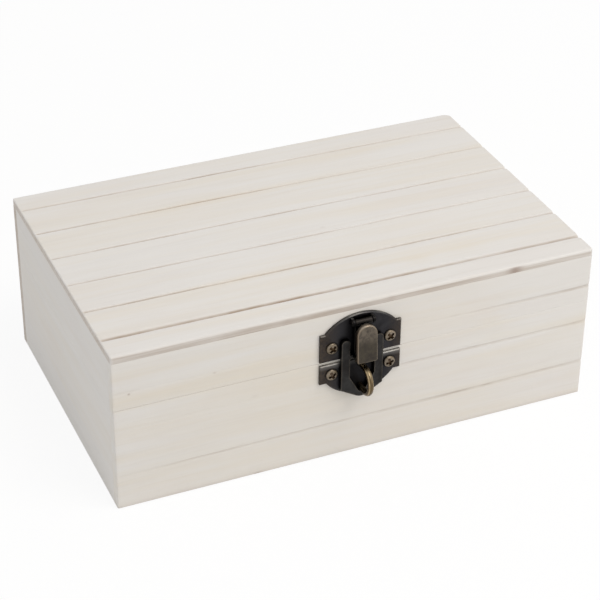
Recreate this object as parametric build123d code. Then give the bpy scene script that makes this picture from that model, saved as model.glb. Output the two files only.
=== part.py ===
from build123d import *
import os
from math import acos, atan2, cos, hypot, sin

# Keepsake box of grooved boards with a sawn-off lid, two back hinges and a hasp clasp.
# Millimetres. X runs along the front, -Y is the front and Z is up.
# The origin is the middle of the box's underside.

# The wooden box
box_width = 200.0
box_depth = 126.0
box_height = 69.0
top_panel_thickness = 3.0
wall_board_thickness = 4.0  # front and back boards
end_board_thickness = 6.0  # left and right boards, between the front and the back
bottom_panel_thickness = 3.0
lid_line_height = 44.9  # middle of the saw cut that frees the lid
saw_gap = 0.3  # left between lid and base when the lid is shut
glue_gap = 0.02  # thickness of a glued joint
top_corner_radius = 0.8
worn_corner_radius = 3.5  # the top's back right corner, sanded rounder
arris_radius = 0.5  # sanded edges

# Plank grooves
plank_pitch = 20.3
groove_width = 1.3
groove_depth = 0.8
first_groove_height = 15.3  # lowest groove on the front and the back
saw_kerf = 3.3  # wood lost to the saw, which brings the lid's groove down
narrowest_strip = 4.0  # no groove comes nearer to an edge

# Screws: cross-head, domed
screw_head_radius = 2.4
screw_head_height = 1.3
screw_head_rim = 0.35
screw_shank_radius = 0.95
screw_tip_length = 1.2
screw_tip_radius = 0.2
screw_cover = 0.7  # wood left under a screw's tip
cross_length = 3.3
cross_width = 1.1
cross_depth = 0.9
upper_cross_turns = (48, 42)  # degrees by which each screw came to rest
lower_cross_turns = (25, 15)
hinge_cross_turns = (10, 55, 75, 30)
plate_hole_clearance = 0.2
wood_hole_clearance = 0.03

# Clasp plates: a round back with a square tab at each side, cut across at the lid line
clasp_shift = -0.8  # the clasp was screwed on a little left of the middle
clasp_plate_thickness = 1.2
clasp_plate_bevel = 0.35
clasp_tab_half_width = 16.95
upper_round_radius = 19.8
upper_round_rise = -0.1  # middle of the round above the lid line
upper_tab_rise = 12.9
lower_round_radius = 17.6
lower_round_rise = 1.1
lower_tab_drop = 9.4
upper_plate_lift = 0.6  # its straight edge above the lid line
lower_plate_drop = 0.95  # its straight edge below it
clasp_screw_half_spacing = 12.1
upper_screw_rise = 6.6
lower_screw_drop = 5.4

# Staple
staple_wire_radius = 1.2
staple_bend_radius = 5.2
staple_drop = 8.3  # middle of the eye below the lid line
staple_straight = 2.8  # straight run in front of the hasp
staple_hole_clearance = 0.02

# Hasp: one casting, a slotted plate with two horns, a neck, a barrel and a thumb tongue
hasp_clearance = 0.3
hasp_thickness = 1.4
hasp_half_width = 8.7
hasp_rise = 9.5  # top of the horns
hasp_side_drop = 13.0
hasp_point_drop = 18.1  # where its two lower edges would meet
hasp_shoulder_radius = 1.6
hasp_point_radius = 4.5
slot_half_width = 5.2
slot_shoulder_drop = 7.6
slot_clearance = 0.5
neck_half_width = 3.4
tongue_half_width = 4.2
tongue_thickness = 2.0
tongue_bottom_rise = 1.1
tongue_top_rise = 17.2
tongue_bottom_out = 8.0  # from the face of the front boards
tongue_top_out = 7.0
tongue_bend_radius = 0.5
tongue_rim_radius = 0.7

# Clasp hinge
clasp_axis_rise = 16.9
clasp_barrel_radius = 1.25
clasp_pin_radius = 0.7
running_clearance = 0.05
tight_clearance = 0.02
ear_radius = 1.4
ear_thickness = 0.9
ear_clearance = 0.3
rivet_radius = 1.1
rivet_height = 0.3

# Back hinges
hinge_half_spacing = 60.0
hinge_width = 18.0
hinge_leaf_height = 9.0
hinge_leaf_thickness = 0.8
hinge_leaf_corner = 1.2
hinge_barrel_radius = 1.6
hinge_pin_radius = 0.8
hinge_back_clearance = 0.2  # from the barrel to the wood
hinge_notch_clearance = 0.3
knuckle_gap = 0.2
hinge_screw_half_spacing = 5.4
hinge_screw_offset = 5.6  # from the hinge's axis

# Worked out from the sizes above
front = -box_depth / 2
back = box_depth / 2
wall_top = box_height - top_panel_thickness
base_top = lid_line_height - saw_gap / 2
lid_bottom = lid_line_height + saw_gap / 2
hasp_back = clasp_plate_thickness + hasp_clearance
hasp_front = hasp_back + hasp_thickness
clasp_axis_out = hasp_back + clasp_barrel_radius
clasp_axis_height = lid_line_height + clasp_axis_rise
ear_inner = neck_half_width + ear_clearance
ear_outer = ear_inner + ear_thickness
staple_centre_out = hasp_front + staple_straight
staple_height = lid_line_height - staple_drop
slot_tip_radius = staple_wire_radius + slot_clearance
slot_tip_height = staple_height - staple_bend_radius - slot_tip_radius
tongue_bottom = lid_line_height + tongue_bottom_rise
tongue_top = lid_line_height + tongue_top_rise
screw_reach = wall_board_thickness - screw_cover  # depth of a screw in the wood
hinge_axis_y = back + hinge_back_clearance + hinge_barrel_radius
knuckle_width = (hinge_width - 2 * knuckle_gap) / 3
sides = (-1, 1)


def block(low, high):
    """A block from its lowest to its highest corner."""
    size = [b - a for a, b in zip(low, high)]
    middle = [(a + b) / 2 for a, b in zip(low, high)]
    return Pos(*middle) * Box(*size)


def rod_along_x(radius, start, end, y, z):
    """A round bar along X."""
    return Pos((start + end) / 2, y, z) * Rot(0, 90, 0) * Cylinder(radius, end - start)


def rod_along_y(radius, start, end, x, z):
    """A round bar along Y."""
    return Pos(x, (start + end) / 2, z) * Rot(90, 0, 0) * Cylinder(radius, end - start)


def front_plate(outline, inner, outer):
    """An outline in X and Z about the clasp's middle, made into a plate on the front.

    inner and outer are its distances from the face of the front boards.
    """
    plane = Plane((clasp_shift, front - inner, 0), x_dir=(1, 0, 0), z_dir=(0, -1, 0))
    return extrude(plane * outline, outer - inner)


def side_plate(outline, left, right):
    """An outline in Z and the distance from the front, made into a slice from left to right."""
    plane = Plane((clasp_shift + right, front, 0), x_dir=(0, -1, 0), z_dir=(-1, 0, 0))
    return extrude(plane * outline, right - left)


def polygon(*corners):
    """A face with straight sides."""
    return make_face(Polyline(*corners, close=True))


# Boards and panels


def groove(corners):
    """A cutter along the whole width, from three corners in Y and Z."""
    plane = Plane((-box_width, 0, 0), x_dir=(0, 1, 0), z_dir=(1, 0, 0))
    return extrude(plane * polygon(*corners), 2 * box_width)


def wall_groove(outer_y, height):
    """A V groove in the outer face of the front or the back."""
    out = groove_depth if outer_y > 0 else -groove_depth
    return groove(
        [
            (outer_y + out, height - groove_width),
            (outer_y - out, height),
            (outer_y + out, height + groove_width),
        ]
    )


def top_groove(y):
    """A V groove in the top."""
    return groove(
        [
            (y - groove_width, box_height + groove_depth),
            (y, box_height - groove_depth),
            (y + groove_width, box_height + groove_depth),
        ]
    )


def wall_groove_heights():
    """Heights of the grooves on the front and the back, after the lid was sawn off."""
    heights = []
    height = first_groove_height
    while height < wall_top + saw_kerf:
        sawn = height - saw_kerf if height > lid_line_height else height
        clear = min(abs(sawn - edge) for edge in (0, lid_line_height, wall_top))
        if clear > narrowest_strip:
            heights.append(sawn)
        height += plank_pitch
    return heights


def wall_board(outer_y, bottom, top, screw_places):
    """A front or back board with its grooves and screw holes."""
    outwards = 1 if outer_y > 0 else -1
    inner_y = outer_y - outwards * wall_board_thickness
    low_y, high_y = sorted((outer_y, inner_y))
    board = block((-box_width / 2, low_y, bottom), (box_width / 2, high_y, top))
    corners = board.edges().filter_by(Axis.Z).group_by(Axis.Y)[-1 if outwards > 0 else 0]
    board = fillet(corners, arris_radius)
    for height in wall_groove_heights():
        if bottom < height < top:
            board -= wall_groove(outer_y, height)
    for x, z in screw_places:
        low_y, high_y = sorted((outer_y, outer_y - outwards * screw_reach))
        board -= rod_along_y(screw_shank_radius + wood_hole_clearance, low_y, high_y, x, z)
    return board


def end_board(side, bottom, top):
    """A plain left or right board, glued between the front and the back."""
    low_x, high_x = sorted((side * box_width / 2, side * (box_width / 2 - end_board_thickness)))
    half = box_depth / 2 - wall_board_thickness - glue_gap
    return block((low_x, -half, bottom), (high_x, half, top))


def top_panel():
    """The grooved panel that lies over the lid's four walls."""
    low = (-box_width / 2, front, wall_top + glue_gap)
    panel = block(low, (box_width / 2, back, box_height))
    worn_place = (box_width / 2, back, wall_top)
    corners = panel.edges().filter_by(Axis.Z).sort_by_distance(worn_place)
    panel = fillet(corners[1:], top_corner_radius)
    worn = panel.edges().filter_by(Axis.Z).sort_by_distance(worn_place)[0]
    panel = fillet(worn, worn_corner_radius)
    panel = fillet(panel.faces().sort_by(Axis.Z)[-1].edges(), arris_radius)
    count = int((box_depth - 2 * narrowest_strip) / plank_pitch) + 1
    for index in range(count):
        panel -= top_groove((index - (count - 1) / 2) * plank_pitch)
    return panel


def bottom_panel():
    """The floor of the box, let in between the walls and flush with their lower edges."""
    half_x = box_width / 2 - end_board_thickness - glue_gap
    half_y = box_depth / 2 - wall_board_thickness - glue_gap
    return block((-half_x, -half_y, 0), (half_x, half_y, bottom_panel_thickness))


# Screws


def screw(plate_thickness):
    """A domed cross-head screw on Z, with the underside of its head at zero and its tip down."""
    length = plate_thickness + screw_reach - wood_hole_clearance
    taper_start = screw_tip_length - length
    dome = screw_head_height - screw_head_rim
    profile = (
        Line((0, -length), (screw_tip_radius, -length))
        + Line((screw_tip_radius, -length), (screw_shank_radius, taper_start))
        + Line((screw_shank_radius, taper_start), (screw_shank_radius, 0))
        + Line((screw_shank_radius, 0), (screw_head_radius, 0))
        + Line((screw_head_radius, 0), (screw_head_radius, screw_head_rim))
        + EllipticalCenterArc((0, screw_head_rim), screw_head_radius, dome, 0, arc_size=90)
        + Line((0, screw_head_height), (0, -length))
    )
    body = revolve(Plane.XZ * make_face(profile), Axis.Z)
    recess = Pos(0, 0, screw_head_height) * Box(cross_length, cross_width, 2 * cross_depth)
    return body - recess - Rot(0, 0, 90) * recess


def screws(places, turns, face_y, plate_thickness):
    """Separate screws through a plate that lies on the front or the back, at places in X and Z."""
    outwards = 1 if face_y > 0 else -1
    head_y = face_y + outwards * plate_thickness
    one = screw(plate_thickness)
    upright = Rot(-90 * outwards, 0, 0)
    return [Pos(x, head_y, z) * upright * Rot(0, 0, turn) * one for (x, z), turn in zip(places, turns)]


def clasp_screw_places(height):
    return [(clasp_shift + side * clasp_screw_half_spacing, height) for side in sides]


def hinge_screw_places(height):
    return [
        (side * hinge_half_spacing + hand * hinge_screw_half_spacing, height)
        for side in sides
        for hand in sides
    ]


upper_screw_places = clasp_screw_places(lid_line_height + upper_screw_rise)
lower_screw_places = clasp_screw_places(lid_line_height - lower_screw_drop)
lid_hinge_screw_places = hinge_screw_places(lid_line_height + hinge_screw_offset)
base_hinge_screw_places = hinge_screw_places(lid_line_height - hinge_screw_offset)


# Clasp


def clasp_plate_blank(disc, bottom, top, tab_bottom, tab_top):
    """A disc and its tabs between two heights, with bevelled outer edges."""
    tabs = Pos(0, (tab_bottom + tab_top) / 2) * Rectangle(2 * clasp_tab_half_width, tab_top - tab_bottom)
    strip = Pos(0, (bottom + top) / 2) * Rectangle(2 * clasp_tab_half_width, top - bottom)
    plate = front_plate((disc + tabs) & strip, 0, clasp_plate_thickness)
    rim = plate.faces().sort_by(Axis.Y)[0].edges()
    return chamfer(rim, clasp_plate_bevel)


def drill_plate(plate, places):
    """Clearance holes for a clasp plate's screws."""
    for x, z in places:
        hole = screw_shank_radius + plate_hole_clearance
        plate -= rod_along_y(hole, front - clasp_plate_thickness, front, x, z)
    return plate


def clasp_upper_plate():
    """The plate on the lid, with two ears for the hasp's pin."""
    bottom = lid_line_height + upper_plate_lift
    middle = lid_line_height + upper_round_rise
    disc = Pos(0, middle) * Circle(upper_round_radius)
    top = middle + upper_round_radius
    plate = clasp_plate_blank(disc, bottom, top, bottom, lid_line_height + upper_tab_rise)
    plate = drill_plate(plate, upper_screw_places)
    root = clasp_plate_thickness - clasp_plate_bevel
    stem = polygon(
        (root, clasp_axis_height - ear_radius),
        (clasp_axis_out, clasp_axis_height - ear_radius),
        (clasp_axis_out, clasp_axis_height + ear_radius),
        (root, clasp_axis_height + ear_radius),
    )
    eye = Pos(clasp_axis_out, clasp_axis_height) * Circle(ear_radius)
    bore = Pos(clasp_axis_out, clasp_axis_height) * Circle(clasp_pin_radius + tight_clearance)
    for side in sides:
        left, right = sorted((side * ear_inner, side * ear_outer))
        plate += side_plate(stem + eye - bore, left, right)
    return plate


def clasp_lower_plate():
    """The plate on the base, with the staple's two holes."""
    top = lid_line_height - lower_plate_drop
    middle = lid_line_height + lower_round_rise
    disc = Pos(0, middle) * Circle(lower_round_radius)
    bottom = middle - lower_round_radius
    plate = clasp_plate_blank(disc, bottom, top, lid_line_height - lower_tab_drop, top)
    plate = drill_plate(plate, lower_screw_places)
    hole = staple_wire_radius + staple_hole_clearance
    for side in sides:
        height = staple_height + side * staple_bend_radius
        plate -= rod_along_y(hole, front - clasp_plate_thickness, front, clasp_shift, height)
    return plate


def staple():
    """A wire eye with two straight legs, riveted through the lower plate."""
    plane = Plane((clasp_shift, front, 0), x_dir=(0, -1, 0), z_dir=(-1, 0, 0))
    low = staple_height - staple_bend_radius
    high = staple_height + staple_bend_radius
    nose = staple_centre_out + staple_bend_radius
    path = (
        Line((0, low), (staple_centre_out, low))
        + ThreePointArc((staple_centre_out, low), (nose, staple_height), (staple_centre_out, high))
        + Line((staple_centre_out, high), (0, high))
    )
    foot = Plane((clasp_shift, front, low), z_dir=(0, -1, 0))
    return sweep(foot * Circle(staple_wire_radius), path=plane * path)


def hasp_plate():
    """The slotted plate that drops over the staple: a blunt point below, a neck between horns above."""
    top = lid_line_height + hasp_rise
    bridge_top = tongue_bottom + hasp_thickness
    side_bottom = lid_line_height - hasp_side_drop
    outline = polygon(
        (-hasp_half_width, top),
        (-hasp_half_width, side_bottom),
        (0, lid_line_height - hasp_point_drop),
        (hasp_half_width, side_bottom),
        (hasp_half_width, top),
        (slot_half_width, top),
        (slot_half_width, bridge_top),
        (-slot_half_width, bridge_top),
        (-slot_half_width, top),
    )
    horn_round = min(hasp_shoulder_radius, 0.45 * (hasp_half_width - slot_half_width))
    outline = fillet(outline.vertices().group_by(Axis.Y)[-1], horn_round)
    outline = fillet(outline.vertices().group_by(Axis.Y)[0], hasp_point_radius)
    neck = polygon(
        (-neck_half_width, tongue_bottom),
        (neck_half_width, tongue_bottom),
        (neck_half_width, clasp_axis_height),
        (-neck_half_width, clasp_axis_height),
    )
    return front_plate(outline + neck - hasp_slot(), hasp_back, hasp_front)


def hasp_slot():
    """The slot's outline: straight sides that lean in to a round end under the staple."""
    shoulder = lid_line_height - slot_shoulder_drop
    end_centre = slot_tip_height + slot_tip_radius
    # the leaning sides touch the round end at the angle of the line from the shoulder
    far = hypot(slot_half_width, shoulder - end_centre)
    turn = atan2(shoulder - end_centre, slot_half_width) - acos(slot_tip_radius / far)
    touch_x = slot_tip_radius * cos(turn)
    touch_z = end_centre + slot_tip_radius * sin(turn)
    sides_and_top = polygon(
        (-touch_x, touch_z),
        (touch_x, touch_z),
        (slot_half_width, shoulder),
        (slot_half_width, tongue_bottom),
        (-slot_half_width, tongue_bottom),
        (-slot_half_width, shoulder),
    )
    return sides_and_top + Pos(0, end_centre) * Circle(slot_tip_radius)


def thumb_tongue():
    """A tongue that leaves the plate above the slot, turns up and ends in a free round top."""
    inner_bottom = tongue_bottom + hasp_thickness
    lean = (tongue_top_out - tongue_bottom_out) / (tongue_top - tongue_bottom)
    inner_bottom_out = tongue_bottom_out + lean * hasp_thickness - tongue_thickness
    corner = (tongue_bottom_out, tongue_bottom)
    profile = polygon(
        (hasp_back, tongue_bottom),
        corner,
        (tongue_top_out, tongue_top),
        (tongue_top_out - tongue_thickness, tongue_top),
        (inner_bottom_out, inner_bottom),
        (hasp_back, inner_bottom),
    )
    bend = profile.vertices().sort_by_distance(corner)[0]
    profile = fillet(bend, tongue_bend_radius)
    round_middle = tongue_top - tongue_half_width
    outline = polygon(
        (-tongue_half_width, tongue_bottom),
        (tongue_half_width, tongue_bottom),
        (tongue_half_width, round_middle),
        (-tongue_half_width, round_middle),
    )
    outline += Pos(0, round_middle) * Circle(tongue_half_width)
    tongue = side_plate(profile, -tongue_half_width, tongue_half_width)
    tongue &= front_plate(outline, 0, tongue_bottom_out)
    face = tongue.faces().filter_by(GeomType.PLANE).sort_by(Axis.Y)[0]
    return fillet(face.edges().sort_by(Axis.Z)[1:], tongue_rim_radius)


def hasp():
    """The whole hasp with its barrel bored for the pin."""
    axis = Pos(clasp_axis_out, clasp_axis_height)
    barrel = side_plate(axis * Circle(clasp_barrel_radius), -neck_half_width, neck_half_width)
    bore = axis * Circle(clasp_pin_radius + running_clearance)
    solid = hasp_plate() + thumb_tongue() + barrel
    return solid - side_plate(bore, -neck_half_width, neck_half_width)


def riveted_pin(radius, half_length, x, y, z):
    """A pin along X with a flat rivet head at each end."""
    pin = rod_along_x(radius, x - half_length, x + half_length, y, z)
    for side in sides:
        start, end = sorted((x + side * half_length, x + side * (half_length + rivet_height)))
        pin += rod_along_x(rivet_radius, start, end, y, z)
    return pin


# Back hinges


def hinge_leaf(x, up):
    """One leaf of a butt hinge; up is 1 on the lid and -1 on the base.

    The lid's leaf has the middle knuckle and the base's leaf the two outer ones.
    """
    axis_z = lid_line_height
    notch = hinge_barrel_radius + hinge_notch_clearance
    low_z, high_z = sorted((axis_z + up * notch, axis_z + up * (notch + hinge_leaf_height)))
    half = hinge_width / 2
    leaf = block((x - half, back, low_z), (x + half, back + hinge_leaf_thickness, high_z))
    outer_corners = leaf.edges().filter_by(Axis.Y).group_by(Axis.Z)[-1 if up > 0 else 0]
    leaf = fillet(outer_corners, hinge_leaf_corner)
    step = knuckle_width + knuckle_gap
    fit = running_clearance if up > 0 else tight_clearance
    for index in (0,) if up > 0 else sides:
        start = x + index * step - knuckle_width / 2
        end = start + knuckle_width
        low_z, high_z = sorted((axis_z, axis_z + up * notch))
        leaf += block((start, back, low_z), (end, back + hinge_leaf_thickness, high_z))
        leaf += rod_along_x(hinge_barrel_radius, start, end, hinge_axis_y, axis_z)
    leaf -= rod_along_x(hinge_pin_radius + fit, x - half, x + half, hinge_axis_y, axis_z)
    for hand in sides:
        hole = screw_shank_radius + plate_hole_clearance
        place = (x + hand * hinge_screw_half_spacing, axis_z + up * hinge_screw_offset)
        leaf -= rod_along_y(hole, back, back + hinge_leaf_thickness, *place)
    return leaf


# The pieces

pieces = {
    "base_front_board": wall_board(front, 0, base_top, lower_screw_places),
    "base_back_board": wall_board(back, 0, base_top, base_hinge_screw_places),
    "base_left_end": end_board(-1, 0, base_top),
    "base_right_end": end_board(1, 0, base_top),
    "bottom_panel": bottom_panel(),
    "top_panel": top_panel(),
    "lid_front_board": wall_board(front, lid_bottom, wall_top, upper_screw_places),
    "lid_back_board": wall_board(back, lid_bottom, wall_top, lid_hinge_screw_places),
    "lid_left_end": end_board(-1, lid_bottom, wall_top),
    "lid_right_end": end_board(1, lid_bottom, wall_top),
    "clasp_upper_plate": clasp_upper_plate(),
    "clasp_lower_plate": clasp_lower_plate(),
    "staple": staple(),
    "hasp": hasp(),
    "clasp_hinge_pin": riveted_pin(
        clasp_pin_radius, ear_outer, clasp_shift, front - clasp_axis_out, clasp_axis_height
    ),
    "upper_clasp_screws": screws(upper_screw_places, upper_cross_turns, front, clasp_plate_thickness),
    "lower_clasp_screws": screws(lower_screw_places, lower_cross_turns, front, clasp_plate_thickness),
    "hinge_lid_screws": screws(lid_hinge_screw_places, hinge_cross_turns, back, hinge_leaf_thickness),
    "hinge_base_screws": screws(base_hinge_screw_places, hinge_cross_turns, back, hinge_leaf_thickness),
}
for name, side in (("left", -1), ("right", 1)):
    x = side * hinge_half_spacing
    pieces[name + "_hinge_lid_leaf"] = hinge_leaf(x, 1)
    pieces[name + "_hinge_base_leaf"] = hinge_leaf(x, -1)
    pieces[name + "_hinge_pin"] = riveted_pin(
        hinge_pin_radius, hinge_width / 2, x, hinge_axis_y, lid_line_height
    )

os.makedirs("parts", exist_ok=True)
for name, piece in pieces.items():
    if isinstance(piece, list):
        piece = Compound(children=piece)
    export_step(piece, "parts/" + name + ".step")
    print(name, round(piece.volume, 2))
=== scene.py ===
import math

import bmesh
import bpy
import numpy as np
from mathutils import Matrix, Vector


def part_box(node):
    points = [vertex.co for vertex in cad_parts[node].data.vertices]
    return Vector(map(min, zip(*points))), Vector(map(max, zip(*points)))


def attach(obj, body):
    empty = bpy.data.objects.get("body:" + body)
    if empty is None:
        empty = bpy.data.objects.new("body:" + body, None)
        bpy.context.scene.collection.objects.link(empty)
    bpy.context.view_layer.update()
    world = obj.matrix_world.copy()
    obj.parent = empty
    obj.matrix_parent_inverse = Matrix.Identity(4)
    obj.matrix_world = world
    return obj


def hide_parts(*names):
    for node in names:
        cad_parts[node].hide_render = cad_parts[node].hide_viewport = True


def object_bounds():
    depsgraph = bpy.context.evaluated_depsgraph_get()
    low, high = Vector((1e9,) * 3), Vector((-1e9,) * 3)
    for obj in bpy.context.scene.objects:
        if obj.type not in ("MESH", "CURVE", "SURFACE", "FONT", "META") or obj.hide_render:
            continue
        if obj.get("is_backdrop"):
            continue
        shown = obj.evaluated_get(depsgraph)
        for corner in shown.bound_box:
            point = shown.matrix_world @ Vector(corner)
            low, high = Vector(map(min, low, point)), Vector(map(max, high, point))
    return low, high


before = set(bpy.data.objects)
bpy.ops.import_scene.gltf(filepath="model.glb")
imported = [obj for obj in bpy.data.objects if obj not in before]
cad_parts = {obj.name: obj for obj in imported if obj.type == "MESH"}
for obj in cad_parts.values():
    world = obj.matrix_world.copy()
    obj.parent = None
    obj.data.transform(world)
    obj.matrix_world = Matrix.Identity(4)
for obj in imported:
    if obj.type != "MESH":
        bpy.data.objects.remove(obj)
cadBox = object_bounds()
scene = bpy.context.scene
scene.view_settings.view_transform = "Standard"
mm = 0.001
print("frame loaded:", len(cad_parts), "nodes")


def linearColor(hexText):  # sRGB hex to the linear colour that shaders use
    channels = np.array([int(hexText[i : i + 2], 16) for i in (1, 3, 5)]) / 255
    linear = np.where(channels <= 0.04045, channels / 12.92, ((channels + 0.055) / 1.055) ** 2.4)
    return (*linear.tolist(), 1.0)


# a socket in inputs is linked, a value is set
# sockets by number: Map Range has 0 value, 1 and 2 from, 3 and 4 to; Mix has 0 share, 6 and 7 the two colours
def addNode(tree, kind, inputs=(), ramp=(), **settings):
    node = tree.nodes.new(kind)
    for name, value in settings.items():
        setattr(node, name, value)
    for key, value in dict(inputs).items():
        if isinstance(value, bpy.types.NodeSocket):
            tree.links.new(value, node.inputs[key])
        else:
            node.inputs[key].default_value = value
    for index, (place, shade) in enumerate(ramp):
        stops = node.color_ramp.elements
        stop = stops[index] if index < 2 else stops.new(place)
        stop.position = place
        stop.color = linearColor(shade)
    return node


def newMaterial(name):
    material = bpy.data.materials.new(name)
    material.use_nodes = True
    material.node_tree.nodes.clear()
    return material, material.node_tree


def perSize(size):  # pattern scale for one repeat in this many millimetres
    return 1 / (size * mm)


# wood

woodLook = {
    "white": "#E4E1DD",
    "shades": {
        "warm": "#E0D4BE",
        "pink": "#DBD2CC",
        "grey": "#D5D1CC",
        "grain": "#CDC0AF",
        "raw": "#C5BAB0",
        "rawDark": "#AE9F91",
        "groove": "#957C62",
        "stain": "#74492A",
    },
    # length and width of one repeat in mm, and noise detail; real fibres are finer than these,
    # which are drawn so wide that they show
    "patterns": {
        "streaks": (120, 8, 4),
        "clouds": (70, 26, 3),
        "wash": (48, 3.2, 4),
        "fibres": (30, 0.9, 5),
        "flecks": (5, 0.5, 2),
    },
    "noise": {"Scale": 1, "Roughness": 0.55, "Distortion": 0.4},
    "rawGrain": {1: 0.4, 2: 0.65},  # which fibres darken raw wood
    # what is painted over what: pattern, where it starts, where it is full, how much then, shade
    "layers": (
        ("warmth", 0.45, 0.85, 0.7, "warm"),
        ("clouds", 0.5, 0.8, 0.4, "pink"),
        ("wash", 0.5, 0.8, 0.3, "grey"),
        ("fibres", 0.52, 0.85, 0.26, "grain"),
        ("flecks", 0.72, 0.82, 0.25, "groove"),
        ("raw", 0.0, 1.0, 1.0, "raw"),
        ("rawFibres", 0.0, 1.0, 0.8, "rawDark"),
        ("groove", 0.0, 1.0, 1.0, "groove"),
        ("stain", 0.0, 1.0, 1.0, "stain"),
    ),
    "rough": {1: 0.3, 2: 0.7, 3: 0.56, 4: 0.72},  # follows the wash
    "relief": {"Strength": 0.3, "Distance": 0.06 * mm},
    "finish": {"IOR": 1.5, "Specular IOR Level": 0.3},
}


# whitewashed pine: thin matt white wash over sanded softwood, so warm streaks and fibres show through,
# and brown raw wood at sawn edges and in the grooves, where the wash didn't reach
def whitewashedPine(name, grainAxis, thinness):  # the thinner the wash, the more grain shows
    look = woodLook
    material, tree = newMaterial(name)
    place = addNode(tree, "ShaderNodeTexCoord").outputs["Object"]
    seen = {}
    for pattern, (length, width, detail) in look["patterns"].items():
        scale = [perSize(width)] * 3
        scale[grainAxis] = perSize(length)
        stretched = addNode(tree, "ShaderNodeMapping", {"Vector": place, "Scale": scale}).outputs[0]
        noise = {"Vector": stretched, "Detail": detail, **look["noise"]}
        seen[pattern] = addNode(tree, "ShaderNodeTexNoise", noise).outputs[0]
    for mark in ("groove", "raw", "stain", "warm"):
        seen[mark] = addNode(tree, "ShaderNodeAttribute", attribute_name=mark).outputs["Fac"]
    warmth = addNode(tree, "ShaderNodeMath", {0: seen["streaks"], 1: seen["warm"]}, operation="ADD")
    rawGrain = addNode(tree, "ShaderNodeMapRange", {0: seen["fibres"], **look["rawGrain"]}).outputs[0]
    rawFibres = addNode(tree, "ShaderNodeMath", {0: rawGrain, 1: seen["raw"]}, operation="MULTIPLY")
    seen.update(warmth=warmth.outputs[0], rawFibres=rawFibres.outputs[0])
    color = linearColor(look["white"])
    for pattern, low, high, most, shade in look["layers"]:
        most *= thinness if pattern in (*look["patterns"], "warmth") else 1
        amount = addNode(tree, "ShaderNodeMapRange", {0: seen[pattern], 1: low, 2: high, 4: most}).outputs[0]
        layer = {0: amount, 6: color, 7: linearColor(look["shades"][shade])}
        color = addNode(tree, "ShaderNodeMix", layer, data_type="RGBA").outputs[2]
    rough = addNode(tree, "ShaderNodeMapRange", {0: seen["wash"], **look["rough"]}).outputs[0]
    bump = addNode(tree, "ShaderNodeBump", {"Height": seen["fibres"], **look["relief"]}).outputs[0]
    finish = {"Base Color": color, "Roughness": rough, "Normal": bump, **look["finish"]}
    shader = addNode(tree, "ShaderNodeBsdfPrincipled", finish).outputs[0]
    addNode(tree, "ShaderNodeOutputMaterial", {0: shader})
    return material


pineAlongX = whitewashedPine("whitewashed pine, grain along the front", 0, 0.65)
pineAlongY = whitewashedPine("whitewashed pine, grain along the ends", 1, 0.4)
print("wood materials ready")

boardCut = {  # lengths in mm
    "grooveHalf": 0.68,  # half width of a plank groove
    "grooveWander": 0.1,
    "bendNear": 2.0,  # the face bends with a skew groove up to here,
    "bendFar": 6.0,  # and no more from here on
    "faintDepth": 0.1,  # share of its depth that a groove full of paint keeps
    "depthUneven": 0.2,
    "tone": 0.74,  # how dark a groove is, and how unevenly
    "toneUneven": 0.2,
    "toneWaves": (60, 23, 9, 4),
    "toneSpread": 1.6,
    "plankWarmth": 0.06,  # planks differ by this much either way
    "flareLength": 1.4,  # grooves run out wider, deeper and paler at the right end
    "flareWidth": 1.0,
    "flareDepth": 1.3,
    "flarePale": 0.5,
    "fadeLength": 1.2,  # and fade under paint at the left end
    "fadeLeast": 0.25,
    "inside": 0.25,  # how raw the inner faces are
    "cornerZone": 8.0,  # how far in from an edge a rounded plan corner is felt
    "sawLineBend": 8,  # the higher, the closer to the edge the saw line's shift stays
    # points of the mesh
    "stationStep": 1.25,
    "lineStep": 3.0,
    "lineMargin": (1.0, 0.6),  # from the rounded edges to the first and the last line
    "lineLeast": 0.05,
    "grooveLines": (0, 0.22, 0.45, 0.7, 0.92, 1.08, 1.35, 1.9, 2.6),  # from its middle, in half widths
    "grooveClear": 3.2,  # other lines stay this many half widths away
    "spotLines": np.linspace(-2, 2, 9),  # across a stain, in half widths
    "cornerTurns": np.linspace(0.05, 1.2, 10),  # radians round a plan corner
    "endTurns": np.linspace(0, np.pi / 2, 6)[1:],
    "arrisTurns": np.linspace(0, np.pi / 2, 5),
    "edgeShares": np.array([0.2, 0.5, 0.8]),  # across the edges, from the inner face out
    "innerLines": 7,
    "sharpAngle": 38,  # degrees, sharper edges are shaded as edges
}


# smooth uneven line: a sum of sine waves of the given lengths (mm), raised to about -1 to 1
def ripple(places, seed, lengths=(130, 47, 19, 8), gain=1.6):
    sizes = np.array(lengths)
    starts = np.random.default_rng(seed).uniform(0, 2 * np.pi, sizes.size)
    weights = np.sqrt(sizes) / np.sqrt(sizes).sum()
    return (np.sin(2 * np.pi * places[..., None] / sizes + starts) * weights).sum(-1) * gain


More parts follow.
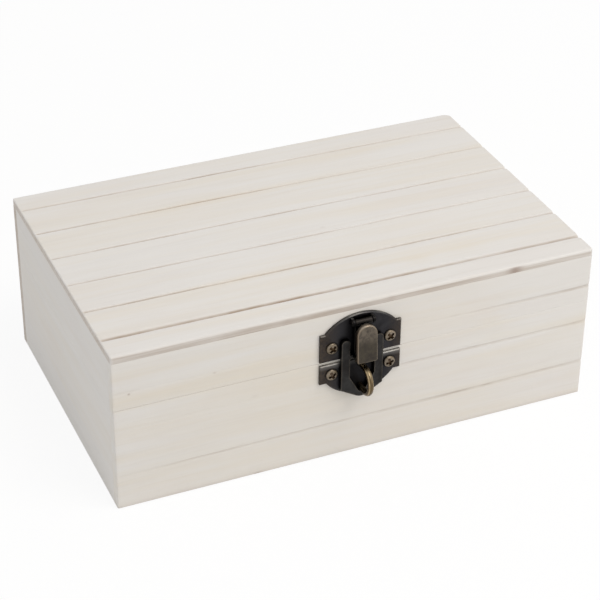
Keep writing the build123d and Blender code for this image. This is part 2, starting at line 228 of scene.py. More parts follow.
# closed bar: point(j, i) is section point i at station j, quads join neighbours and one face closes each end
def barMesh(name, grid, values, material):
    stations, around = grid.shape[:2]
    j, i = np.meshgrid(np.arange(stations - 1), np.arange(around), indexing="ij")
    k = (i + 1) % around
    quads = np.stack([j * around + i, j * around + k, (j + 1) * around + k, (j + 1) * around + i], -1)
    quads = quads.reshape(-1, 4)
    points = grid.reshape(-1, 3)
    a, b, c, d = (points[quads[:, n]] for n in range(4))
    volume = np.einsum("ij,ij->", a - points.mean(0), np.cross(c - a, d - b))
    ends = [np.arange(around)[::-1], (stations - 1) * around + np.arange(around)]
    if volume < 0:  # turn every face outwards
        quads = quads[:, ::-1]
        ends = [ring[::-1] for ring in ends]
    mesh = bpy.data.meshes.new(name)
    mesh.from_pydata((points * mm).tolist(), [], quads.tolist() + [ring.tolist() for ring in ends])
    for key, value in values.items():
        layer = mesh.attributes.new(key, "FLOAT", "POINT")
        layer.data.foreach_set("value", value.astype(np.float32).ravel())
    shape = bmesh.new()
    shape.from_mesh(mesh)
    endFaces = [face for face in shape.faces if len(face.verts) > 4]
    bmesh.ops.triangulate(shape, faces=endFaces, ngon_method="BEAUTY")  # no slivers between points in line
    shape.to_mesh(mesh)
    shape.free()
    mesh.shade_smooth()
    mesh.set_sharp_from_angle(angle=math.radians(boardCut["sharpAngle"]))
    mesh.materials.append(material)
    piece = bpy.data.objects.new(name, mesh)
    scene.collection.objects.link(piece)
    return piece


# stations along the grain, and how far the rounded ends draw the face in there:
# even steps, closer at stains and plan corners, then quarter rounds
def boardStations(start, end, spec):
    cut, endRound = boardCut, spec["endRound"]
    first, last = start + endRound, end - endRound
    near = [np.linspace(first, last, int((end - start) / cut["stationStep"]))]
    for radius in set(sum(spec.get("planCorners", ()), ())):
        steps = radius * (1 - np.sin(cut["cornerTurns"]))
        near += [start + steps, end - steps]
    near += [x + halfX * cut["spotLines"] for x, u, halfX, halfU, amount in spec.get("stains", ())]
    near = np.unique(np.concatenate(near).round(3))
    near = near[(near >= first) & (near <= last)]
    bend = endRound * np.sin(cut["endTurns"])
    edge = endRound * (1 - np.cos(cut["endTurns"]))
    stations = np.concatenate([first - bend[::-1], near, last + bend])
    return stations, np.concatenate([edge[::-1], np.zeros(near.size), edge])


# section as (out, up) points: lower edge, quarter round, face, quarter round, upper edge, inner face;
# with it, how raw each point is, and which points are on the face with its rounds and on the rounds alone
def boardSection(bottom, top, thick, spec):
    cut, edgeRaw = boardCut, spec.get("edgeRaw", 0.8)
    low, high = spec["arris"]
    lowMargin, highMargin = cut["lineMargin"]
    lines = np.arange(bottom + low + lowMargin, top - high - highMargin, cut["lineStep"])
    for x, u, halfX, halfU, amount in spec.get("stains", ()):
        lines = np.concatenate([lines, u + halfU * cut["spotLines"]])
    outward = np.array(cut["grooveLines"])
    spread = np.concatenate([-outward[:0:-1], outward])
    for groove in spec["grooves"]:
        middle = sum(groove["at"]) / 2
        lines = lines[np.abs(lines - middle) > cut["grooveClear"] * cut["grooveHalf"]]
        lines = np.concatenate([lines, middle + spread * cut["grooveHalf"]])
    lines = lines[(lines > bottom + low + cut["lineLeast"]) & (lines < top - high - cut["lineLeast"])]
    lines = np.unique(lines.round(3))
    sine, cosine = np.sin(cut["arrisTurns"]), np.cos(cut["arrisTurns"])
    across, inner = cut["edgeShares"], np.linspace(top, bottom, cut["innerLines"])
    parts = [
        np.stack([across * (thick - low), np.full(across.size, bottom)], 1),
        np.stack([thick - low * (1 - sine), bottom + low * (1 - cosine)], 1),
        np.stack([np.full(lines.size, thick), lines], 1),
        np.stack([thick - high * (1 - cosine), top - high * (1 - sine)], 1),
        np.stack([across[::-1] * (thick - high), np.full(across.size, top)], 1),
        np.stack([np.zeros(inner.size), inner], 1),
    ]
    sizes = [len(part) for part in parts]
    onFace = np.repeat([0.0, 1.0, 1.0, 1.0, 0.0, 0.0], sizes)
    onArris = np.repeat([0.0, 1.0, 0.0, 1.0, 0.0, 0.0], sizes)
    raw = np.repeat([edgeRaw, 0.0, 0.0, 0.0, edgeRaw, cut["inside"]], sizes)
    fading = edgeRaw * np.linspace(1, 0, sizes[1]) ** 2
    raw[onArris > 0] = np.concatenate([fading, fading[::-1]])
    raw[[-inner.size, -1]] = edgeRaw
    return np.concatenate(parts), raw, onFace, onArris


# soft spots: the sum of amount * exp(-((x - x0) / halfX)^2 - ((u - u0) / halfU)^2)
def spots(x, u, places):
    total = np.zeros_like(u)
    for x0, u0, halfX, halfU, amount in places:
        total += amount * np.exp(-(((x - x0) / halfX) ** 2) - ((u - u0) / halfU) ** 2)
    return total


# round corner: cut(d) = radius - sqrt(radius^2 - (radius - d)^2) at distance d from the end
def cornerCut(radius, distance):
    past = np.clip(radius - distance, 0, radius)
    return radius - np.sqrt(radius**2 - past**2)


# straight runs between (place, value) points, with places in mm from the box's middle
def alongGrain(stations, points):
    return np.interp(stations, *zip(*points))


whole = [(-100, 1), (100, 1)]  # the same all along


# board: its section carried along the grain
# out(x, u) = thickness - depth(x) * max(0, 1 - |u - groove(x)| / half(x)), rounded in at both ends
def board(name, spec):
    cut = boardCut
    low, high = (np.array(corner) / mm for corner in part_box(spec["node"]))
    along, up, out = spec["axes"]
    bottom, top, start, end = low[up], high[up], low[along], high[along]
    stations, inset = boardStations(start, end, spec)
    section, raw, onFace, onArris = boardSection(bottom, top, high[out] - low[out], spec)
    fromLeft, fromRight = stations - start, end - stations
    flare = np.exp(-fromRight / cut["flareLength"])
    fade = np.clip(fromLeft / cut["fadeLength"], cut["fadeLeast"], 1)

    outs = section[:, 0] - inset[:, None] * onFace
    ups = np.repeat(section[None, :, 1], stations.size, 0)
    if "reach" in spec:  # the saw line is narrower than the solids' gap, and closes to the right
        share = np.clip((section[:, 1] - bottom) / (top - bottom), 0, 1)
        toLine = share if spec["body"] == "base" else 1 - share
        sign = 1 if spec["body"] == "base" else -1
        ups += alongGrain(stations, spec["reach"])[:, None] * sign * toLine ** cut["sawLineBend"]
    grooved = np.zeros_like(outs)
    warm = np.full_like(outs, spec.get("warmth", 0.0))
    for index, groove in enumerate(spec["grooves"]):
        seed = spec["seed"] * 10 + index
        middle = sum(groove["at"]) / 2
        away = section[:, 1] - middle
        warm += (away > 0) * np.random.default_rng(seed).uniform(-cut["plankWarmth"], cut["plankWarmth"])
        shows = alongGrain(stations, groove["shows"])
        half = cut["grooveHalf"] * alongGrain(stations, groove.get("width", whole))
        half *= 1 + cut["flareWidth"] * flare
        notch = np.clip(1 - np.abs(away) / half[:, None], 0, 1) * onFace
        depth = spec["grooveDepth"] * (cut["faintDepth"] + (1 - cut["faintDepth"]) * shows)
        depth *= 1 + cut["depthUneven"] * ripple(stations, seed + 3)
        depth *= fade * (1 + cut["flareDepth"] * flare)
        outs -= depth[:, None] * notch
        shift = np.interp(stations, (start, end), groove["at"]) - middle
        shift += cut["grooveWander"] * ripple(stations, seed + 5)
        near = np.clip((cut["bendFar"] - np.abs(away)) / (cut["bendFar"] - cut["bendNear"]), 0, 1)
        ups += shift[:, None] * near * onFace
        tone = cut["tone"] + cut["toneUneven"] * ripple(stations, seed + 7, cut["toneWaves"])
        tone *= shows * fade * (1 - cut["flarePale"] * flare)
        grooved += np.clip(tone, 0, 1)[:, None] * np.clip(notch * cut["toneSpread"], 0, 1)
    toFront = np.clip(1 - (section[:, 1] - bottom) / cut["cornerZone"], 0, 1)
    toBack = np.clip(1 - (top - section[:, 1]) / cut["cornerZone"], 0, 1)
    for (frontRadius, backRadius), toEnd in zip(spec.get("planCorners", ()), (fromLeft, fromRight)):
        ups += cornerCut(frontRadius, toEnd)[:, None] * toFront
        ups -= cornerCut(backRadius, toEnd)[:, None] * toBack
    warm += spots(stations[:, None], ups, spec.get("warmSpots", ()))
    stain = np.clip(spots(stations[:, None], ups, spec.get("stains", ())), 0, 1)
    edgeShows = alongGrain(stations, spec.get("edgeShows", whole))
    toNearEnd = np.minimum(fromLeft, fromRight)
    edgeShows *= np.clip(toNearEnd / cut["fadeLength"], 0, 1)  # paint wraps round the ends
    arrisShows = alongGrain(stations, spec.get("arrisShows", whole))
    raw = raw * edgeShows[:, None] * np.where(onArris, arrisShows[:, None], 1)
    raw[[0, -1]] = spec.get("endRaw", 0)  # the two end faces

    grid = np.zeros((*outs.shape, 3))
    grid[..., along] = stations[:, None]
    grid[..., up] = ups
    grid[..., out] = low[out] + outs if spec["sign"] > 0 else high[out] - outs
    values = {"groove": grooved, "raw": raw, "stain": stain, "warm": warm}
    piece = barMesh(name, grid, values, spec["material"])
    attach(piece, spec["body"])
    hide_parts(spec["node"])


even = [(-100, 0.3), (100, 0.3)]
sawnEdge = [(-100, 0.7), (15, 0.6), (45, 0), (100, 0)]
sawLine = [(-100, 0.115), (-20, 0.12), (25, 0.14), (60, 0.149), (100, 0.149)]  # mm
sawLineEnds = [(-100, 0.148), (100, 0.148)]
frontAxes, panelAxes, endAxes = (0, 2, 1), (0, 1, 2), (1, 2, 0)  # along, up, out
painted = {"slot": "whitewashed_wood", "grooves": []}
wallBoard = {
    **painted, "axes": frontAxes, "material": pineAlongX, "reach": sawLine,
    "endRound": 0.5, "grooveDepth": 0.4,
}
endBoard = {
    **painted, "axes": endAxes, "material": pineAlongY, "reach": sawLineEnds,
    "arris": (0.05, 0.05), "endRound": 0.05,
}
lidWall = {**wallBoard, "body": "lid", "arris": (0.08, 0.25)}
baseWall = {**wallBoard, "body": "base", "arris": (0.25, 0.08)}
# sign: whether the face looks along the out axis or against it
# arris: radius of the lower and the upper edge; planCorners: front and back radius, left and then right
# grooves: place at the left and the right end, how strongly it shows along the grain, and how wide it is
# stains and warmSpots: place along and across the grain, half length, half width, amount
# edgeShows, arrisShows and endRaw: how raw the edges, their rounds and the ends are
# reach: how far in mm the edge at the saw line goes into the solids' gap
boards = {
    "topPanel": {
        **painted, "node": "top_panel", "body": "lid", "axes": panelAxes, "sign": 1, "seed": 1,
        "material": pineAlongX, "grooveDepth": 0.8, "edgeRaw": 1.0, "endRaw": 0.5,
        "arris": (0.8, 0.5), "endRound": 0.5, "planCorners": ((0.8, 0.8), (0.8, 3.5)),
        "edgeShows": [
            (-100, 0.58), (-85, 0.5), (-60, 0.55), (-45, 0.82), (-32, 0.7), (-20, 0.92),
            (-6, 0.76), (8, 0.62), (27, 0.86), (50, 0.5), (80, 0.46), (100, 0.42),
        ],
        "arrisShows": [(-100, 1), (-60, 0.8), (-20, 0.4), (10, 0.05), (100, 0)],
        "grooves": [
            {
                "at": (-50.9, -52.1), "width": [(-100, 1.5), (100, 1.5)],
                "shows": [(-100, 0.68), (-60, 0.9), (-35, 0.84), (-5, 1.0), (15, 0.7), (40, 0.6), (100, 0.6)],
            },
            {
                "at": (-30.4, -31.9),
                "shows": [(-100, 0.6), (-10, 0.6), (10, 0.54), (40, 0.55), (60, 0.42), (100, 0.5)],
            },
            {"at": (-10.3, -11.7), "shows": [(-100, 0.46), (-20, 0.42), (5, 0.42), (15, 0.28), (100, 0.3)]},
            {"at": (10.6, 9.4), "shows": [(-100, 0.46), (-80, 0.5), (0, 0.48), (12, 0.36), (100, 0.36)]},
            {"at": (31.3, 29.8), "shows": [(-100, 0.48), (-60, 0.56), (0, 0.56), (12, 0.28), (100, 0.22)]},
            {
                "at": (51.3, 49.9),
                "shows": [(-100, 0.42), (-45, 0.42), (-28, 0.65), (-15, 0.65), (5, 0.38), (100, 0.28)],
            },
        ],
        "stains": [
            (-31, -63, 2.5, 0.1, 0.12), (65.3, -63, 3, 0.1, 0.5), (12, -63, 2, 0.1, 0.1),
            (-27, -51.4, 5, 0.35, 0.5), (-22, 50.7, 5, 0.35, 0.3), (-22, 30.7, 5, 0.35, 0.2),
            (8, -7, 1.0, 0.6, 0.1),
        ],
        "warmSpots": [
            (33, -44, 7, 2.2, 0.3), (52, -43, 9, 5, 0.14), (-20, 20, 40, 14, 0.08), (85, 60, 30, 9, -0.25),
        ],
    },
    "lidFrontBoard": {
        **lidWall, "node": "lid_front_board", "sign": -1, "seed": 2, "arrisShows": sawnEdge, "warmth": 0.14,
        "grooves": [
            {
                "at": (52.4, 52.0), "width": [(-100, 1), (50, 1), (80, 1.3), (100, 1.3)],
                "shows": [(-100, 0.08), (-93, 0.05), (-88, 0), (42, 0), (54, 0.22), (75, 0.27), (100, 0.38)],
            },
        ],
        "stains": [(-93.6, 51.4, 0.45, 0.3, 0.6), (-60, 52, 0.7, 0.4, 0.18), (40, 52.6, 3, 0.4, 0.08)],
        "warmSpots": [(-35, 49, 16, 4, 0.2), (56, 46, 6, 3, 0.2), (100, 55, 40, 20, -0.3)],
    },
    "baseFrontBoard": {
        **baseWall, "node": "base_front_board", "sign": -1, "seed": 3, "arrisShows": sawnEdge, "warmth": 0.14,
        "grooves": [
            {
                "at": (14.8, 15.8), "width": [(-100, 1), (0, 1), (20, 1.4), (100, 1.4)],
                "shows": [
                    (-100, 0.03), (-85, 0.06), (-70, 0.2), (-50, 0.19), (-30, 0.23), (80, 0.28), (100, 0.2),
                ],
            },
            {
                "at": (35.6, 35.2), "width": [(-100, 1), (20, 1.2), (100, 1.2)],
                "shows": [(-100, 0), (12, 0), (18, 0.25), (100, 0.26)],
            },
        ],
        "stains": [
            (-58, 14.9, 12, 0.3, 0.14), (43, 15.5, 6, 0.3, 0.3), (56, 15.6, 2, 0.3, 0.22),
            # the long faint one along the bottom edge, (0, 0.2, 400, ...), is a painted shade line on the
            # lower arris
            (-43, 0.2, 1.6, 0.5, 0.35), (0, 0.2, 400, 1.1, 0.12), (-44, 37, 1.2, 0.6, 0.06),
        ],
        "warmSpots": [(-30, 40, 14, 6, 0.2), (60, 40, 8, 4, 0.1), (100, 15, 40, 30, -0.12)],
    },
    "lidBackBoard": {
        **lidWall, "node": "lid_back_board", "sign": 1, "seed": 4, "endRaw": 0.75,
        "grooves": [{"at": (52.6, 52.6), "shows": even}],
    },
    "baseBackBoard": {
        **baseWall, "node": "base_back_board", "sign": 1, "seed": 5, "endRaw": 0.75,
        "grooves": [{"at": (15.3, 15.3), "shows": even}, {"at": (35.6, 35.6), "shows": even}],
    },
    "lidLeftEnd": {**endBoard, "node": "lid_left_end", "body": "lid", "sign": -1, "seed": 6},
    "lidRightEnd": {**endBoard, "node": "lid_right_end", "body": "lid", "sign": 1, "seed": 7},
    "baseLeftEnd": {**endBoard, "node": "base_left_end", "body": "base", "sign": -1, "seed": 8},
    "baseRightEnd": {**endBoard, "node": "base_right_end", "body": "base", "sign": 1, "seed": 9},
    "bottomPanel": {
        "node": "bottom_panel", "body": "base", "axes": panelAxes, "sign": -1, "seed": 10,
        "slot": "plain_wood", "material": pineAlongX, "grooves": [],
        "arris": (0.15, 0.15), "endRound": 0.05, "warmth": 0.1,
    },
}
for boardName, boardSpec in boards.items():
    board(boardName, boardSpec)
print("boards made:", len(boards))


# clasp and hinges

# where the clasp is, in mm: the wall that its plates lie on, its hinge pin and its lower plate
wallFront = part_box("clasp_upper_plate")[1][1] / mm
pinHeight = sum(corner[2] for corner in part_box("clasp_hinge_pin")) / 2 / mm
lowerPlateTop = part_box("clasp_lower_plate")[1][2] / mm

# patch, speck: size of one in mm; rough: least and most; then how light the rims get, partly worn and partly
# painted highlight, and how much painted highlight the upper faces get; rimReach, hollowReach: how far in mm
# a rim or a hollow is felt; hollow: open sky at which the painted shade in hollows starts and is full; alone:
# only the piece's own hollows count
# bands: coordinate, where in mm it starts and is full, how much then, shade
metalLooks = {
    "blackened bronze plate": {
        "base": "#353436", "tarnish": "#29282A", "grime": "#0B0A0B", "worn": "#857C72", "gleam": "#B4B2AC",
        "rimWearAndSheen": 0.35, "upperGleam": 0.35, "rough": (0.34, 0.52), "patch": 7, "speck": 0.9,
        "rimReach": 0.6, "hollowReach": 1.6, "hollow": (0.86, 0.45), "alone": False,
        "tabs": (10.0, 17.5, "#483F37"),  # from the middle, in mm: browner towards the ends
        "bands": (("y", wallFront - 1.7, wallFront - 2.3, 0.9, "#121112"),),  # painted shade on the ears, black
    },
    "blackened bronze hasp": {
        "base": "#393837", "tarnish": "#2A2827", "grime": "#0A090A", "worn": "#A39684", "gleam": "#B0A99E",
        "rimWearAndSheen": 0.6, "upperGleam": 0.8, "rough": (0.32, 0.5), "patch": 5, "speck": 0.8,
        "rimReach": 0.7, "hollowReach": 4.5, "hollow": (0.85, 0.35), "alone": False,
        # thumbs rub the tongue, which stands furthest out: brown; its top and its rounded rim are painted
        # lighter, as highlights
        "rubbed": {
            "depth": (wallFront - 4.6, wallFront - 6.4), "top": (pinHeight - 8.3, pinHeight - 4.3),
            "patch": 2.0,
            "shade": "#4C463D", "topShade": "#6C6358", "darkShade": "#383432", "rimShade": "#7A6D5E",
            "darkPatches": {1: 0.42, 2: 0.66, 4: 0.7},
            "turnedRim": {1: -0.97, 2: -0.8},  # from facing the front to turning away
            "wearAndSheenElsewhere": 0.35,
        },
        "bands": (("z", pinHeight - 3.3, pinHeight - 1.3, 0.85, "#211F1E"),),  # painted shade on the barrel and neck, black
    },
    "tarnished brass wire": {
        "base": "#6C5B41", "tarnish": "#473A28", "grime": "#120D08", "worn": "#A3916F", "gleam": "#C3B391",
        "rimWearAndSheen": 0.3, "upperGleam": 0.3, "rough": (0.22, 0.36), "patch": 3, "speck": 0.7,
        "rimReach": 0.3, "hollowReach": 3.5, "hollow": (0.8, 0.3), "alone": False,
        # across the wire, by which way its surface faces, from its middle line to its sides: painted
        # highlight, painted shade, brass, painted highlight, painted shade
        "across": (
            (0.0, "#93826A"), (0.2, "#4F422F"), (0.45, "#6C5B41"), (0.68, "#BFAB87"), (0.92, "#453829"),
        ),
    },
    "dull brass screw": {
        "base": "#82776A", "tarnish": "#685C49", "grime": "#341F07", "worn": "#988D7E", "gleam": "#A09688",
        "rimWearAndSheen": 0.4, "upperGleam": 0.3, "rough": (0.34, 0.48), "patch": 2.2, "speck": 0.5,
        "rimReach": 0.4, "hollowReach": 2.0, "hollow": (0.96, 0.66), "alone": True,
    },
    "antique bronze hinge": {
        "base": "#4A4136", "tarnish": "#352C24", "grime": "#0F0C09", "worn": "#A08D6C", "gleam": "#B5A88C",
        "rimWearAndSheen": 0.6, "upperGleam": 0.4, "rough": (0.34, 0.52), "patch": 5, "speck": 0.8,
        "rimReach": 0.5, "hollowReach": 2.0, "hollow": (0.85, 0.35), "alone": False,
    },
}
metalLooks["blackened bronze lower plate"] = {
    **metalLooks["blackened bronze plate"], "upperGleam": 0.8,
    "bands": (
        ("z", lowerPlateTop - 2.25, lowerPlateTop, 0.4, "#96938F"),  # painted highlight along the top edge
        ("fromMiddle", 6.5, 4.5, 0.6, "#0B0A0B"),  # painted shade in the middle, black
    ),
}
antiqueFinish = {  # what all these metals share
    "noise": {"Detail": 5, "Roughness": 0.6, "Distortion": 0.5},
    "cornerSamples": 8,
    "unevenWear": {1: 0.35, 2: 0.6, 3: 0.3},
    "rim": {1: 0.9, 2: 0.5},
    "facingUp": {1: 0.45, 2: 0.85},
    "sheenPatches": {1: 0.4, 2: 0.6, 3: 0.15},
    "tarnishPatches": {1: 0.4, 2: 0.65},
    "roughPatches": {1: 0.3, 2: 0.7},
    "mostHollowShade": 0.92,
    "edgeRadius": 0.25 * mm,  # edges catch the light as if they were rounded by this
    "edgeSamples": 6,
    "relief": {"Strength": 0.35, "Distance": 0.05 * mm},
}


# plated zinc or brass with an antique finish: dark plating, its rims lighter, partly rubbed bright and partly
# painted highlight, painted highlight on what faces up, and painted shade in hollows and under standing parts
def antiqueMetal(name):
    look, shared = metalLooks[name], antiqueFinish
    material, tree = newMaterial(name)
    place = addNode(tree, "ShaderNodeTexCoord").outputs["Object"]
    normal = addNode(tree, "ShaderNodeNewGeometry").outputs["Normal"]
    turned = addNode(tree, "ShaderNodeVectorTransform", {0: normal}, vector_type="NORMAL").outputs[0]
    facesX, facesY, facesZ = addNode(tree, "ShaderNodeSeparateXYZ", {0: turned}).outputs
    atX, atY, atZ = addNode(tree, "ShaderNodeSeparateXYZ", {0: place}).outputs
    fromMiddle = addNode(tree, "ShaderNodeMath", {0: atX}, operation="ABSOLUTE").outputs[0]
    noise = {"Vector": place, **shared["noise"]}
    patches = addNode(tree, "ShaderNodeTexNoise", {**noise, "Scale": perSize(look["patch"])}).outputs[0]
    specks = addNode(tree, "ShaderNodeTexNoise", {**noise, "Scale": perSize(look["speck"])}).outputs[0]
    samples, reach = shared["cornerSamples"], {"Distance": look["hollowReach"] * mm}
    around = addNode(tree, "ShaderNodeAmbientOcclusion", reach, samples=samples, only_local=look["alone"])
    openSky = around.outputs["AO"]
    reach = {"Distance": look["rimReach"] * mm}
    behind = addNode(tree, "ShaderNodeAmbientOcclusion", reach, samples=samples, only_local=True, inside=True)
    thickness = behind.outputs["AO"]

    # rims lighter: partly real wear, partly painted highlight where rounded rims would catch the light
    uneven = addNode(tree, "ShaderNodeMapRange", {0: specks, **shared["unevenWear"]}).outputs[0]
    rim = addNode(tree, "ShaderNodeMapRange", {0: thickness, **shared["rim"], 4: look["rimWearAndSheen"]}).outputs[0]
    worn = addNode(tree, "ShaderNodeMath", {0: rim, 1: uneven}, operation="MULTIPLY").outputs[0]
    # painted highlight on faces that look up, in patches
    upward = {0: facesZ, **shared["facingUp"], 4: look["upperGleam"]}
    upper = addNode(tree, "ShaderNodeMapRange", upward).outputs[0]
    sheenSpots = addNode(tree, "ShaderNodeMapRange", {0: patches, **shared["sheenPatches"]}).outputs[0]
    gleam = addNode(tree, "ShaderNodeMath", {0: upper, 1: sheenSpots}, operation="MULTIPLY").outputs[0]
    # painted shade where little open sky is seen: in hollows, round screw heads and under standing parts
    hollowShadeFrom, hollowShadeFull = look["hollow"]
    hollow = {0: openSky, 1: hollowShadeFrom, 2: hollowShadeFull, 4: shared["mostHollowShade"]}
    grime = addNode(tree, "ShaderNodeMapRange", hollow).outputs[0]
    tarnish = addNode(tree, "ShaderNodeMapRange", {0: patches, **shared["tarnishPatches"]}).outputs[0]
    layers = [(tarnish, linearColor(look["tarnish"]))]

    if "tabs" in look:
        start, full, shade = look["tabs"]
        outer = addNode(tree, "ShaderNodeMapRange", {0: fromMiddle, 1: start * mm, 2: full * mm}).outputs[0]
        brown = addNode(tree, "ShaderNodeMath", {0: outer, 1: uneven}, operation="MULTIPLY").outputs[0]
        layers.append((brown, linearColor(shade)))
    # painted highlights and painted shade across the wire, set by which way its surface faces sideways
    if "across" in look:
        sideways = addNode(tree, "ShaderNodeMath", {0: facesX}, operation="ABSOLUTE").outputs[0]
        layers.append((sheenSpots, addNode(tree, "ShaderNodeValToRGB", {0: sideways}, look["across"]).outputs[0]))
    if "rubbed" in look:
        rubbed = look["rubbed"]
        start, full = rubbed["depth"]
        touched = addNode(tree, "ShaderNodeMapRange", {0: atY, 1: start * mm, 2: full * mm}).outputs[0]
        untouched = addNode(tree, "ShaderNodeMath", {0: 1.0, 1: touched}, operation="SUBTRACT").outputs[0]
        # painted highlights: lighter towards the tongue's top and where its rim turns away from the front
        start, full = rubbed["top"]
        top = addNode(tree, "ShaderNodeMapRange", {0: atZ, 1: start * mm, 2: full * mm}).outputs[0]
        mottle = addNode(tree, "ShaderNodeTexNoise", {**noise, "Scale": perSize(rubbed["patch"])}).outputs[0]
        dark = addNode(tree, "ShaderNodeMapRange", {0: mottle, **rubbed["darkPatches"]}).outputs[0]
        turnedRim = addNode(tree, "ShaderNodeMapRange", {0: facesY, **rubbed["turnedRim"]}).outputs[0]
        tone = linearColor(rubbed["shade"])
        for amount, shade in ((top, "topShade"), (dark, "darkShade"), (turnedRim, "rimShade")):
            mix = {0: amount, 6: tone, 7: linearColor(rubbed[shade])}
            tone = addNode(tree, "ShaderNodeMix", mix, data_type="RGBA").outputs[2]
        layers.append((touched, tone))
        share = addNode(tree, "ShaderNodeMapRange", {0: touched, 3: rubbed["wearAndSheenElsewhere"]}).outputs[0]
        worn = addNode(tree, "ShaderNodeMath", {0: worn, 1: share}, operation="MULTIPLY").outputs[0]
        gleam = addNode(tree, "ShaderNodeMath", {0: gleam, 1: touched}, operation="MULTIPLY").outputs[0]
    for amount, shade in ((worn, "worn"), (grime, "grime"), (gleam, "gleam")):
        layers.append((amount, linearColor(look[shade])))
    # bands: painted shade and painted highlight in set zones
    measured = {"y": atY, "z": atZ, "fromMiddle": fromMiddle}
    for coordinate, start, full, most, shade in look.get("bands", ()):
        band = {0: measured[coordinate], 1: start * mm, 2: full * mm, 4: most}
        amount = addNode(tree, "ShaderNodeMapRange", band).outputs[0]
        if "rubbed" in look:
            both = {0: amount, 1: untouched}
            amount = addNode(tree, "ShaderNodeMath", both, operation="MULTIPLY").outputs[0]
        layers.append((amount, linearColor(shade)))

    color = linearColor(look["base"])
    for amount, shade in layers:
        color = addNode(tree, "ShaderNodeMix", {0: amount, 6: color, 7: shade}, data_type="RGBA").outputs[2]
    leastRough, mostRough = look["rough"]
    roughness = {0: patches, **shared["roughPatches"], 3: leastRough, 4: mostRough}
    rough = addNode(tree, "ShaderNodeMapRange", roughness).outputs[0]
    soft = {"Radius": shared["edgeRadius"]}
    softNormal = addNode(tree, "ShaderNodeBevel", soft, samples=shared["edgeSamples"]).outputs[0]
    relief = {"Height": specks, "Normal": softNormal, **shared["relief"]}
    bump = addNode(tree, "ShaderNodeBump", relief).outputs[0]
    finish = {"Base Color": color, "Metallic": 1.0, "Roughness": rough, "Normal": bump}
    shader = addNode(tree, "ShaderNodeBsdfPrincipled", finish).outputs[0]
    addNode(tree, "ShaderNodeOutputMaterial", {0: shader})
    return material


metals = {name: antiqueMetal(name) for name in metalLooks}
metalNodes = {
    "clasp_upper_plate": "blackened bronze plate",
    "clasp_lower_plate": "blackened bronze lower plate",
    "clasp_hinge_pin": "blackened bronze hasp",
    "hasp": "blackened bronze hasp",
    "upper_clasp_screws": "dull brass screw",
    "lower_clasp_screws": "dull brass screw",
    "hinge_lid_screws": "dull brass screw",
    "hinge_base_screws": "dull brass screw",
    "staple": "tarnished brass wire",
}
for side in ("left", "right"):
    for leaf in ("lid_leaf", "base_leaf", "pin"):
        metalNodes[f"{side}_hinge_{leaf}"] = "antique bronze hinge"
for nodeName, metalName in metalNodes.items():
    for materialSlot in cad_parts[nodeName].material_slots:
        materialSlot.material = metals[metalName]
print("metal finishes set:", len(metalNodes))


# camera, light and ground

cameraSetup = {
    "place": (-263.6, -611.0, 457.5),  # mm
    "aim": (1.56, 0.0, 31.83),
    "roll": 0.523,  # degrees
    "lens": 114.9,
    "sensor": 36,
    "nearest": 10,
}


def turnTo(right, top, back, place):  # matrix with these axes and this place, in metres
    rows = np.eye(4)
    rows[:3] = np.stack([right, top, back, place], 1)
    return Matrix(rows.tolist())


def lookBack(place, aim):  # unit vectors from the aim to the place, and level to the right
    back = np.array(place) - np.array(aim)
    back /= np.linalg.norm(back)
    level = np.cross((0, 0, 1), back)
    return back, level / np.linalg.norm(level)


def addCamera(setup):
    back, level = lookBack(setup["place"], setup["aim"])
    roll = math.radians(setup["roll"])
    right = math.cos(roll) * level + math.sin(roll) * np.cross(back, level)
    camera = bpy.data.objects.new("camera", bpy.data.cameras.new("camera"))
    camera.data.lens = setup["lens"]
    camera.data.sensor_width = setup["sensor"]
    camera.data.clip_start = setup["nearest"] * mm
    camera.matrix_world = turnTo(right, np.cross(back, right), back, np.array(setup["place"]) * mm)
    scene.collection.objects.link(camera)
    scene.camera = camera


addCamera(cameraSetup)

studio = {  # metres
    "lampAim": (0, 0, 0.03),
    "ambient": 0.63,
    "floorSize": 60.0,
    "floorDrop": 0.2 * mm,  # under the box
    "floorShade": "#EBEBEA",
    "shadowShare": 0.12,  # how much of the shadows the white ground shows
}
lamps = {
    "keySoftbox": {"place": (0.45, -0.6, 1.33), "size": 0.8, "power": 8.4, "color": "#FFFAF4"},
    "rightSoftbox": {"place": (0.55, -0.5, 0.15), "size": 0.35, "power": 0.55, "color": "#FFFCF8"},
    "leftSoftbox": {"place": (-1.1, -0.1, 0.5), "size": 0.8, "power": 0.5, "color": "#F6F6FF"},
}
for lampName, lamp in lamps.items():
    light = bpy.data.lights.new(lampName, "AREA")
    light.size, light.energy = lamp["size"], lamp["power"]
    light.color = linearColor(lamp["color"])[:3]
    lampObject = bpy.data.objects.new(lampName, light)
    back, right = lookBack(lamp["place"], studio["lampAim"])
    lampObject.matrix_world = turnTo(right, np.cross(back, right), back, lamp["place"])
    scene.collection.objects.link(lampObject)


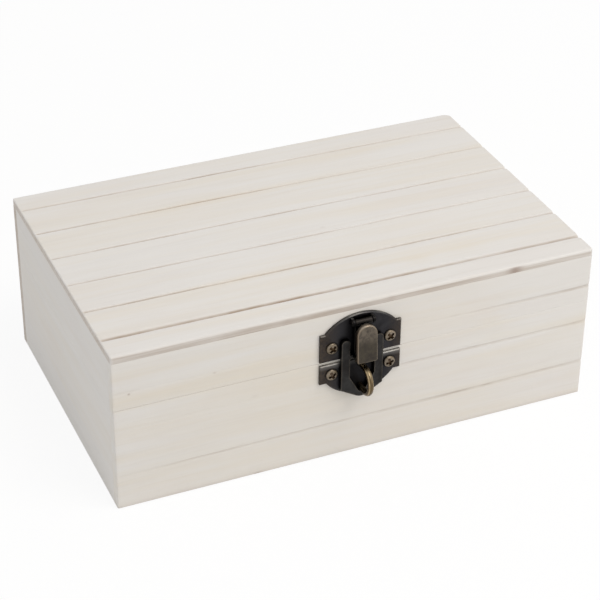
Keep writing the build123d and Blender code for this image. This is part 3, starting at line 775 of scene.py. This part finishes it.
def seenDirectly(tree):  # 1 for camera, glossy and transmission rays
    rays = addNode(tree, "ShaderNodeLightPath").outputs
    either = {0: rays["Is Camera Ray"], 1: rays["Is Glossy Ray"]}
    shiny = addNode(tree, "ShaderNodeMath", either, operation="MAXIMUM").outputs[0]
    either = {0: shiny, 1: rays["Is Transmission Ray"]}
    return addNode(tree, "ShaderNodeMath", either, operation="MAXIMUM").outputs[0]


# world: soft light from all sides on the object, plain white where it is seen
white = linearColor("#FFFFFF")
world = bpy.data.worlds.new("studio")
scene.world = world
world.use_nodes = True
worldTree = world.node_tree
worldTree.nodes.clear()
levels = {0: seenDirectly(worldTree), 3: studio["ambient"], 4: 1.0}
strength = addNode(worldTree, "ShaderNodeMapRange", levels).outputs[0]
glow = addNode(worldTree, "ShaderNodeBackground", {"Color": white, "Strength": strength}).outputs[0]
addNode(worldTree, "ShaderNodeOutputWorld", {0: glow})

# white paper: matt, sends a little light back up, and looks all but white with a faint shadow
floorMaterial, floorTree = newMaterial("white paper ground")
direct = seenDirectly(floorTree)
paperTones = {0: direct, 6: linearColor(studio["floorShade"]), 7: white}
paperTone = addNode(floorTree, "ShaderNodeMix", paperTones, data_type="RGBA").outputs[2]
paper = addNode(floorTree, "ShaderNodeBsdfDiffuse", {"Color": paperTone}).outputs[0]
plainWhite = addNode(floorTree, "ShaderNodeEmission", {"Color": white, "Strength": 1.0}).outputs[0]
share = addNode(floorTree, "ShaderNodeMapRange", {0: direct, 4: 1 - studio["shadowShare"]}).outputs[0]
ground = addNode(floorTree, "ShaderNodeMixShader", {0: share, 1: paper, 2: plainWhite}).outputs[0]
addNode(floorTree, "ShaderNodeOutputMaterial", {0: ground})
half, level = studio["floorSize"] / 2, -studio["floorDrop"]
floorMesh = bpy.data.meshes.new("floor")
floorCorners = [(-half, -half, level), (half, -half, level), (half, half, level), (-half, half, level)]
floorMesh.from_pydata(floorCorners, [], [(0, 1, 2, 3)])
floorMesh.materials.append(floorMaterial)
floor = bpy.data.objects.new("floor", floorMesh)
scene.collection.objects.link(floor)
floor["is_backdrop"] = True
print("camera, lamps and floor set")

boxes = {"cad": cadBox, "visual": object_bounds()}
boxes = {key: [list(map(float, corner)) for corner in box] for key, box in boxes.items()}
